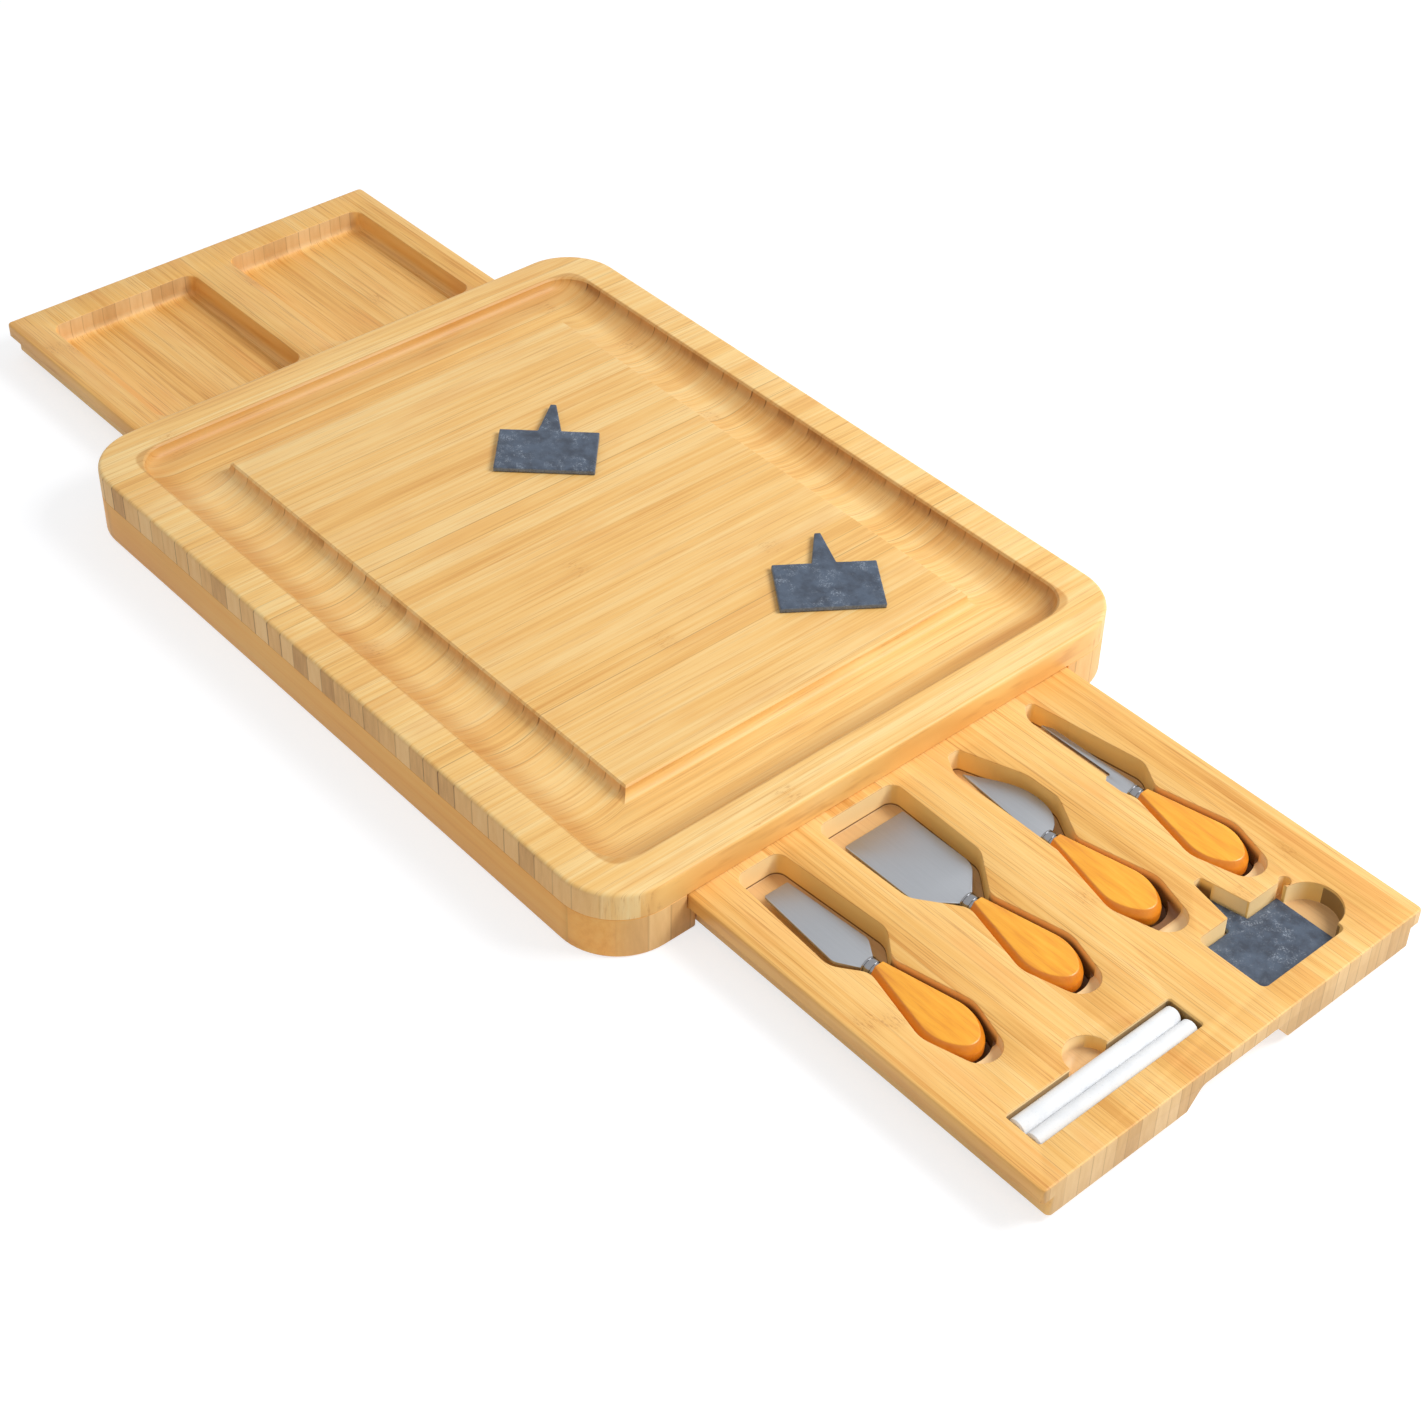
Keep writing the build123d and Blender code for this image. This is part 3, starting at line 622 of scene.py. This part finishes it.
# the platter: rings that follow its outline inwards, each with the corner radius that its inset calls for
def platterTree():
    tree, given, result = sizedTree("platterRings", {
        "Outline": "Object", "Material": "Material", "Length": "Float", "Width": "Float",
        "Corner radius": "Float", "Arris": "Float", "Rim": "Float", "Channel middle": "Float",
        "Corner steps": "Int",
    })
    perCorner = calc(tree, "ADD", given["Corner steps"], 1)
    around = calc(tree, "ADD", calc(tree, "MULTIPLY", perCorner, 4), 1)
    grid, point, column = outlineGrid(tree, given["Outline"], around)
    inset = point["X"]
    corner = calc(tree, "FLOOR", calc(tree, "DIVIDE", calc(tree, "ADD", column, 0.5), perCorner))
    step = calc(tree, "SUBTRACT", column, calc(tree, "MULTIPLY", corner, perCorner))
    quarter = math.pi / 2
    turn = calc(tree, "ADD", corner, calc(tree, "DIVIDE", step, given["Corner steps"]))
    turn = calc(tree, "MULTIPLY", turn, quarter)
    aim = calc(tree, "MULTIPLY", calc(tree, "ADD", corner, 0.5), quarter)
    follow = calc(tree, "SUBTRACT", given["Corner radius"], inset)
    across = put(tree, "ShaderNodeMapRange", {
        "Value": inset, "From Min": given["Arris"], "From Max": given["Rim"],
        "To Min": calc(tree, "SUBTRACT", given["Corner radius"], given["Arris"]),
        "To Max": calc(tree, "SUBTRACT", given["Channel middle"], given["Rim"]),
    }).outputs[0]
    inward = calc(tree, "SUBTRACT", given["Channel middle"], inset)
    radius = calc(tree, "MINIMUM", calc(tree, "MAXIMUM", follow, across), inward)
    radius = calc(tree, "MAXIMUM", radius, 0.0)
    sides = []
    for length, wave in ((given["Length"], "COSINE"), (given["Width"], "SINE")):
        centre = calc(tree, "SUBTRACT", calc(tree, "DIVIDE", length, 2.0), inset)
        centre = calc(tree, "SUBTRACT", centre, radius)
        centre = calc(tree, "MULTIPLY", calc(tree, "SIGN", calc(tree, wave, aim)), centre)
        sides.append(calc(tree, "ADD", centre, calc(tree, "MULTIPLY", calc(tree, wave, turn), radius)))
    board = closedMesh(tree, grid, combine(tree, sides[0], sides[1], point["Z"]))
    inputs = {"Geometry": board, "Translation": (rowShift * mm, 0, 0)}
    finishTree(tree, put(tree, "GeometryNodeTransform", inputs).outputs[0], given["Material"], result[0])
    return tree


# turned rods: an outline of distances and radii swung about X, then set on every point
def turnedTree():
    tree, given, result = sizedTree("turnedRods", {
        "Outline": "Object", "Points": "Object", "Material": "Material", "Rotation": "Vector", "Sides": "Int",
    })
    grid, point, column = outlineGrid(tree, given["Outline"], calc(tree, "ADD", given["Sides"], 1))
    turn = calc(tree, "MULTIPLY", calc(tree, "DIVIDE", column, given["Sides"]), 2 * math.pi)
    spread = [calc(tree, "MULTIPLY", calc(tree, wave, turn), point["Z"]) for wave in ("COSINE", "SINE")]
    rod = closedMesh(tree, grid, combine(tree, point["X"], *spread))
    spots = put(tree, "GeometryNodeObjectInfo", {"Object": given["Points"]}).outputs["Geometry"]
    inputs = {"Points": spots, "Instance": rod, "Rotation": given["Rotation"]}
    rods = put(tree, "GeometryNodeInstanceOnPoints", inputs).outputs[0]
    finishTree(tree, rods, given["Material"], result[0])
    return tree


# one finished piece set on every point
def repeatTree():
    tree, given, result = sizedTree("repeatedPiece", {
        "Piece": "Object", "Points": "Object", "Material": "Material",
    })
    spots = put(tree, "GeometryNodeObjectInfo", {"Object": given["Points"]}).outputs["Geometry"]
    model = put(tree, "GeometryNodeObjectInfo", {"Object": given["Piece"]}).outputs["Geometry"]
    pieces = put(tree, "GeometryNodeInstanceOnPoints", {"Points": spots, "Instance": model}).outputs[0]
    finishTree(tree, pieces, given["Material"], result[0])
    return tree


# points along a path in X and Z, its corners rounded by the third number of each
def roundedPath(points, steps):
    path = []
    for i, (x, z, radius) in enumerate(points):
        here = Vector((x, z))
        if not radius:
            path.append(here)
            continue
        before = (Vector(points[i - 1][:2]) - here).normalized()
        after = (Vector(points[i + 1][:2]) - here).normalized()
        half = before.angle(after) / 2
        centre = here + (before + after).normalized() * (radius / math.sin(half))
        first = here + before * (radius / math.tan(half)) - centre
        last = here + after * (radius / math.tan(half)) - centre
        swing = first.angle_signed(last)
        for k in range(steps + 1):
            path.append(centre + Matrix.Rotation(-swing * k / steps, 2) @ first)
    return [Vector((x, 0, z)) for x, z in path]


# the serving platter, in mm and degrees: wall is the channel's steep cove and dish its broad floor,
# which takes over where the cove has turned by dishTurn
platterSizes = {
    "length": 430.0, "width": 328.0, "cornerRadius": 32.0, "bottom": 23.0, "top": 38.0,
    "arris": 2.2, "underArris": 0.35, "underRing": 100.0, "rim": 20.0, "lip": 1.0, "lipRound": 0.4,
    "channelMiddle": 39.0, "channelFloor": 28.5, "wallRadius": 6.0, "wallCentre": 12.0,
    "dishRadius": 36.05, "dishTurn": 66.5, "plateauEdge": 12.0, "plateauRings": (75.0, 110.0, 145.0),
    "cornerSteps": 18, "roundSteps": 5, "wallSteps": 8, "dishSteps": 6, "smooth": 35,
}


# insets and heights from the middle of the underside, round the edge, to the middle of the top
def platterOutline(size):
    bottom, top, rim, middle = size["bottom"], size["top"], size["rim"], size["channelMiddle"]
    lipDepth, mirrored = top - size["lip"], 2 * middle - rim
    outer = roundedPath([
        (size["width"] / 2, bottom, 0), (size["underRing"], bottom, 0), (0.0, bottom, size["underArris"]),
        (0.0, top, size["arris"]), (rim, top, size["lipRound"]), (rim + size["lip"], lipDepth, 0),
    ], size["roundSteps"])
    turn = math.radians(size["dishTurn"])
    across = []
    for k in range(1, size["wallSteps"] + 1):
        angle, radius = turn * k / size["wallSteps"], size["wallRadius"]
        out = size["wallCentre"] + math.cos(angle) * radius
        across.append(Vector((-out, 0, lipDepth - math.sin(angle) * radius)))
    for k in range(1, size["dishSteps"] + 1):
        angle, radius = (math.pi / 2 - turn) * (1 - k / size["dishSteps"]), size["dishRadius"]
        rise = radius * (1 - math.cos(angle))
        across.append(Vector((-math.sin(angle) * radius, 0, size["channelFloor"] + rise)))
    down = [Vector((middle + spot.x, 0, spot.z)) for spot in across]
    up = [Vector((middle - spot.x, 0, spot.z)) for spot in reversed(across[:-1])]
    inner = roundedPath([
        (mirrored - size["lip"], lipDepth, 0), (mirrored, top, size["lipRound"]),
        (mirrored + size["plateauEdge"], top, 0),
    ], size["roundSteps"])
    inner += [Vector((ring, 0, top)) for ring in size["plateauRings"] + (size["width"] / 2,)]
    return [spot * mm for spot in outer + down + up + inner]


outline = pointCloud("platterOutline", platterOutline(platterSizes))
platter = grownPiece("servingPlatter", platterTree(), {
    "Outline": outline, "Material": bamboo["platterBamboo"], "Corner steps": platterSizes["cornerSteps"],
    "Length": platterSizes["length"] * mm, "Width": platterSizes["width"] * mm,
    "Corner radius": platterSizes["cornerRadius"] * mm, "Arris": platterSizes["arris"] * mm,
    "Rim": platterSizes["rim"] * mm, "Channel middle": platterSizes["channelMiddle"] * mm,
})
bpy.data.objects.remove(outline)
smoothByAngle(platter, platterSizes["smooth"])
stand(platter, "platter_top", bamboo["platterBamboo"])
print("platter:", len(platter.data.polygons))

# edge is the width of the eased edges, and leave the height of those that stay sharp
woodPieces = {
    "near_rail": {"name": "nearSideRail", "wood": "railBamboo", "slot": "bamboo_rail", "edge": 0.0005},
    "far_rail": {"name": "farSideRail", "wood": "railBamboo", "slot": "bamboo_rail", "edge": 0.0005},
    "centre_stop": {"name": "middleStop", "wood": "railBamboo", "slot": "bamboo_rail", "edge": 0.0004},
    "knife_drawer": {
        "name": "toolDrawer", "wood": "drawerBamboo", "slot": "bamboo_drawer", "edge": 0.00045, "leave": 0.0150,
    },
    "snack_drawer": {
        "name": "bowlDrawer", "wood": "drawerBamboo", "slot": "bamboo_drawer", "edge": 0.00045, "leave": 0.0150,
    },
}

for node, size in woodPieces.items():
    piece = solidCopy(node, size["name"])
    easeEdges(piece, size["edge"], leave=size.get("leave"))
    stand(piece, node, bamboo[size["wood"]])
    print("wood:", size["name"], len(piece.data.polygons))


# the four tools: blades of their own, and the same collar and handle on each

toolNames = ["chisel", "spade", "pointed", "fork"]
bladeEdge = {"width": 0.00018, "steps": 2}
handleEdge = {"width": 0.0006, "steps": 3, "degrees": 20}
# the collar, in mm: a plain tube between two narrow rims, with a groove beside each rim
collarSize = {
    "length": 6.0, "radius": 4.6, "grooveDepth": 0.35, "groove": 0.7, "rimWidth": 0.9, "edge": 0.18,
    "edgeSteps": 3, "sides": 48,
}
rods = turnedTree()
repeats = repeatTree()

for tool in toolNames:
    blade = solidCopy(tool + "_blade", tool + "Blade")
    easeEdges(blade, bladeEdge["width"], bladeEdge["steps"])
    stand(blade, tool + "_blade", steel["bladeSteel"])


# half an outline and its mirror image, in mm, as points in m
def mirroredOutline(points, length, steps):
    whole = points + [(length - x, radius, rounding) for x, radius, rounding in reversed(points)]
    return [spot * mm for spot in roundedPath(whole, steps)]


def collarOutline(size):
    high, edge, rim = size["radius"], size["edge"], size["rimWidth"]
    low, inner = high - size["grooveDepth"], rim + size["groove"]
    half = [(0, 0, 0), (0, high, edge), (rim, high, edge), (rim, low, 0), (inner, low, 0), (inner, high, edge)]
    return mirroredOutline(half, size["length"], size["edgeSteps"])


def middles(nodes):
    return [sum(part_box(node), Vector()) / 2 for node in nodes]


def startPoints(name, nodes, back):
    return pointCloud(name, [middle - Vector(back) for middle in middles(nodes)])


collarNodes = [tool + "_ferrule" for tool in toolNames]
collarLine = pointCloud("collarLine", collarOutline(collarSize))
collarSpots = startPoints("collarSpots", collarNodes, (collarSize["length"] * mm / 2, 0, 0))
collars = grownPiece("toolCollars", rods, {
    "Outline": collarLine, "Points": collarSpots, "Material": steel["collarSteel"], "Rotation": (0, 0, 0),
    "Sides": collarSize["sides"],
})
smoothByAngle(collars)
stand(collars, collarNodes, steel["collarSteel"])

handleNodes = [tool + "_handle" for tool in toolNames]
handleModel = solidCopy(handleNodes[0], "handleModel")
easeEdges(handleModel, handleEdge["width"], handleEdge["steps"], handleEdge["degrees"])
handleModel.data.transform(Matrix.Translation(-middles(handleNodes[:1])[0]))
handleSpots = startPoints("handleSpots", handleNodes, (0, 0, 0))
handles = grownPiece("toolHandles", repeats, {
    "Piece": handleModel, "Points": handleSpots, "Material": handleWood,
})
smoothByAngle(handles)
stand(handles, handleNodes, handleWood)
print("tools:", len(collars.data.polygons), len(handles.data.polygons))

# the shallow finger rest beyond each handle, in mm and degrees: a crescent between the handle's round bay
# (radius pocket, its middle back from the handle's end) and the pocket's end (radius end, its middle apart
# from the bay's); the crescent's top rises from low to high, and its rim is sunk into the wall
restSize = {
    "pocket": 15.2, "back": 13.0, "end": 10.0, "apart": 18.5, "spread": 56, "floor": 9.7, "low": 15.6,
    "high": 19.6, "rise": 3, "sink": 0.4, "turns": 32, "steps": 10,
}


def fingerRest(name, size):
    pocket, end, apart = size["pocket"], size["end"], size["apart"]
    flank = math.acos((pocket - end) / apart)
    meets = math.atan2(end * math.sin(flank), apart + end * math.cos(flank))
    rows, steps = size["turns"], size["steps"]
    points, faces = [], []
    for i in range(rows + 1):
        turn = math.radians(size["spread"]) * (2 * i / rows - 1)
        slant = abs(turn)
        if slant < meets:
            far = apart * math.cos(slant) + math.sqrt(end ** 2 - (apart * math.sin(slant)) ** 2)
        else:
            far = pocket / math.cos(flank - slant)
        for k in range(steps + 1):
            share = k / steps
            out = pocket + (far + size["sink"] - pocket) * share
            top = size["low"] + (size["high"] - size["low"]) * share ** size["rise"]
            for height in (size["floor"], top):
                points.append(Vector((out * math.cos(turn) - size["back"], out * math.sin(turn), height)) * mm)
    line = 2 * (steps + 1)
    for i in range(rows):
        for k in range(steps):
            a = i * line + 2 * k
            b, c, d = a + 2, a + line + 2, a + line
            faces += [(a, b, c, d), (a + 1, d + 1, c + 1, b + 1)]
        for a in (i * line, i * line + 2 * steps):
            faces.append((a, a + line, a + line + 1, a + 1))
    for i in (0, rows):
        for k in range(steps):
            a = i * line + 2 * k
            faces.append((a, a + 1, a + 3, a + 2))
    mesh = bpy.data.meshes.new(name)
    mesh.from_pydata([tuple(point) for point in points], [], faces)
    work = bmesh.new()
    work.from_mesh(mesh)
    bmesh.ops.recalc_face_normals(work, faces=work.faces)
    work.to_mesh(mesh)
    work.free()
    return show(bpy.data.objects.new(name, mesh))


restModel = fingerRest("restModel", restSize)
handleEnds = [Vector((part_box(node)[1].x, middle.y, 0)) for node, middle in zip(handleNodes, middles(handleNodes))]
restSpots = pointCloud("restSpots", handleEnds)
rests = grownPiece("fingerRests", repeats, {
    "Piece": restModel, "Points": restSpots, "Material": bamboo["drawerBamboo"],
})
smoothByAngle(rests)
rests.data.materials.clear()
rests.data.materials.append(bamboo["drawerBamboo"])
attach(rests, frame["nodes"]["knife_drawer"]["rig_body"])
print("finger rests:", len(rests.data.polygons))

# chalk sticks, in mm, with a blunt bevel at each end
chalkSize = {"length": 95.0, "radius": 4.5, "bevel": 0.9, "edge": 0.5, "edgeSteps": 4, "sides": 64, "smooth": 50}
chalkNodes = ["front_chalk", "back_chalk"]


def chalkOutline(size):
    radius, bevel, edge = size["radius"], size["bevel"], size["edge"]
    half = [(0, 0, 0), (0, radius - bevel, edge), (bevel, radius, edge)]
    return mirroredOutline(half, size["length"], size["edgeSteps"])


chalkLine = pointCloud("chalkLine", chalkOutline(chalkSize))
chalkSpots = startPoints("chalkSpots", chalkNodes, (0, chalkSize["length"] * mm / 2, 0))
chalks = grownPiece("chalkSticks", rods, {
    "Outline": chalkLine, "Points": chalkSpots, "Material": chalkStick, "Rotation": (0, 0, math.pi / 2),
    "Sides": chalkSize["sides"],
})
smoothByAngle(chalks, chalkSize["smooth"])
stand(chalks, chalkNodes, chalkStick)
for helper in (collarLine, collarSpots, handleModel, handleSpots, restModel, restSpots, chalkLine, chalkSpots):
    bpy.data.objects.remove(helper)
print("chalk:", len(chalks.data.polygons))

# slate markers: an even mesh, pushed inwards by noise on its faces (riven) and along its edges (chipped);
# riven and chipped are depths in m, and a noise has its repeats per metre, then roughness, step and octaves
slateSizes = {
    "voxel": 0.00055, "riven": 0.00013, "rivenNoise": (130, 130, 130), "rivenSteps": (0.8, 2.1, 4),
    "chipped": 0.00045, "chipNoise": (420, 420, 900), "chipSteps": (0.7, 2.2, 3), "faceReach": 1.15, "smooth": 60,
}
slatePieces = {
    "stored_marker": {"name": "storedMarker", "shift": 0.1},
    "front_marker": {"name": "frontMarker", "shift": 0.4},
    "back_marker": {"name": "backMarker", "shift": 0.7},
}


def slatePiece(node, name, sizes, shift):
    piece = solidCopy(node, name)
    low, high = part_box(node)
    remesh = piece.modifiers.new("evenCells", "REMESH")
    remesh.mode = "VOXEL"
    remesh.voxel_size = sizes["voxel"]
    settle(piece)
    work = bmesh.new()
    work.from_mesh(piece.data)
    work.normal_update()
    chipped = []
    for vertex in work.verts:
        spot = vertex.co + Vector((shift, shift, 0))
        side = 1 - min(1, abs(vertex.normal.z) * sizes["faceReach"])
        rise = noise.fractal(spot * Vector(sizes["rivenNoise"]), *sizes["rivenSteps"])
        chip = max(0, noise.fractal(spot * Vector(sizes["chipNoise"]), *sizes["chipSteps"]))
        push = sizes["riven"] * (0.5 + 0.5 * rise) * (1 - side) + sizes["chipped"] * chip * side
        chipped.append(side)
        vertex.co -= vertex.normal * push
        vertex.co.z = min(max(vertex.co.z, low.z), high.z)
    work.to_mesh(piece.data)
    work.free()
    layer = piece.data.attributes.new("chipped", "FLOAT", "POINT")
    layer.data.foreach_set("value", chipped)
    smoothByAngle(piece, sizes["smooth"])
    stand(piece, node, slateStone)
    print("slate:", name, len(piece.data.polygons))


for node, marker in slatePieces.items():
    slatePiece(node, marker["name"], slateSizes, marker["shift"])


# floor, light and camera

# the floor is white to the camera and plain to the light, and the glow that lifts it grows from near to far
floorSize = {
    "half": 4.0, "bounce": paint(245, 245, 246), "seen": paint(172, 174, 178), "roughness": 0.9,
    "lift": 0.71, "farLift": 0.80, "near": 0.7, "far": 2.2,
}


def seenRays(tree):
    rays = put(tree, "ShaderNodeLightPath").outputs
    mirrored = calc(tree, "MAXIMUM", rays["Is Glossy Ray"], rays["Is Transmission Ray"])
    return calc(tree, "MAXIMUM", rays["Is Camera Ray"], mirrored)


def placeFloor(size):
    material, tree, shader, place = newMaterial("paleFloor")
    seen = seenRays(tree)
    wire(tree, shader["Base Color"], tint(tree, seen, size["bounce"], size["seen"]))
    shader["Roughness"].default_value = size["roughness"]
    shader["Specular IOR Level"].default_value = 0.0
    shader["Emission Color"].default_value = (1, 1, 1, 1)
    away = put(tree, "ShaderNodeVectorMath", {0: place["Object"]}, operation="LENGTH").outputs["Value"]
    lift = ease(tree, away, size["near"], size["far"], size["lift"], size["farLift"])
    wire(tree, shader["Emission Strength"], times(tree, seen, lift))
    mesh = bpy.data.meshes.new("paleFloor")
    half = size["half"]
    corners = [(-half, -half, 0), (half, -half, 0), (half, half, 0), (-half, half, 0)]
    mesh.from_pydata(corners, [], [(0, 1, 2, 3)])
    mesh.materials.append(material)
    return show(bpy.data.objects.new("paleFloor", mesh))


floor = placeFloor(floorSize)

skyLevel = {"seen": 1.0, "light": 0.50}
world = bpy.data.worlds.new("studio")
bpy.context.scene.world = world
world.use_nodes = True
tree = world.node_tree
backdrop = tree.nodes["Background"].inputs
backdrop["Color"].default_value = (1, 1, 1, 1)
wire(tree, backdrop["Strength"], ease(tree, seenRays(tree), 0.0, 1.0, skyLevel["light"], skyLevel["seen"]))

keyBox = {"from": Vector((0.95, 0.88, 1.30)), "to": Vector((0.05, 0, 0)), "size": 0.75, "power": 23.4}


def placeLamp(name, box):
    lamp = bpy.data.lights.new(name, "AREA")
    lamp.shape = "SQUARE"
    lamp.size = box["size"]
    lamp.energy = box["power"]
    holder = show(bpy.data.objects.new(name, lamp))
    holder.location = box["from"]
    holder.rotation_euler = (box["to"] - box["from"]).to_track_quat("-Z", "Y").to_euler()


placeLamp("keyBox", keyBox)

# solved from the straight edges in the photograph: angles in degrees, distances in mm from the board's middle,
# focal length and the middle of the lens in pixels of the picture, sensor in mm and nearest in m
viewpoint = {
    "azimuth": 47.295, "elevation": 39.419, "roll": 1.960, "distance": 1294.6, "target": (78.654, 33.058, 0.0),
    "focal": 2615.5, "middle": (742.2, 636.5), "picture": 1422, "sensor": 36, "nearest": 0.05,
}


def placeCamera(view):
    turn, tilt, roll = (math.radians(view[k]) for k in ("azimuth", "elevation", "roll"))
    back = Vector((math.sin(turn) * math.cos(tilt), -math.cos(turn) * math.cos(tilt), math.sin(tilt)))
    right = Vector((math.cos(turn), math.sin(turn), 0))
    up = back.cross(right)
    right, up = right * math.cos(roll) + up * math.sin(roll), up * math.cos(roll) - right * math.sin(roll)
    spot = (Vector(view["target"]) + back * view["distance"] + Vector((rowShift, 0, 0))) * mm
    data = bpy.data.cameras.new("photoCamera")
    data.sensor_width = view["sensor"]
    data.lens = view["sensor"] * view["focal"] / view["picture"]
    data.shift_x = (view["picture"] / 2 - view["middle"][0]) / view["picture"]
    data.shift_y = (view["middle"][1] - view["picture"] / 2) / view["picture"]
    data.clip_start = view["nearest"]
    camera = show(bpy.data.objects.new("photoCamera", data))
    camera.matrix_world = Matrix.Translation(spot) @ Matrix((right, up, back)).transposed().to_4x4()
    bpy.context.scene.camera = camera


placeCamera(viewpoint)
bpy.context.scene.view_settings.view_transform = "Standard"
print("floor, light and camera ready")
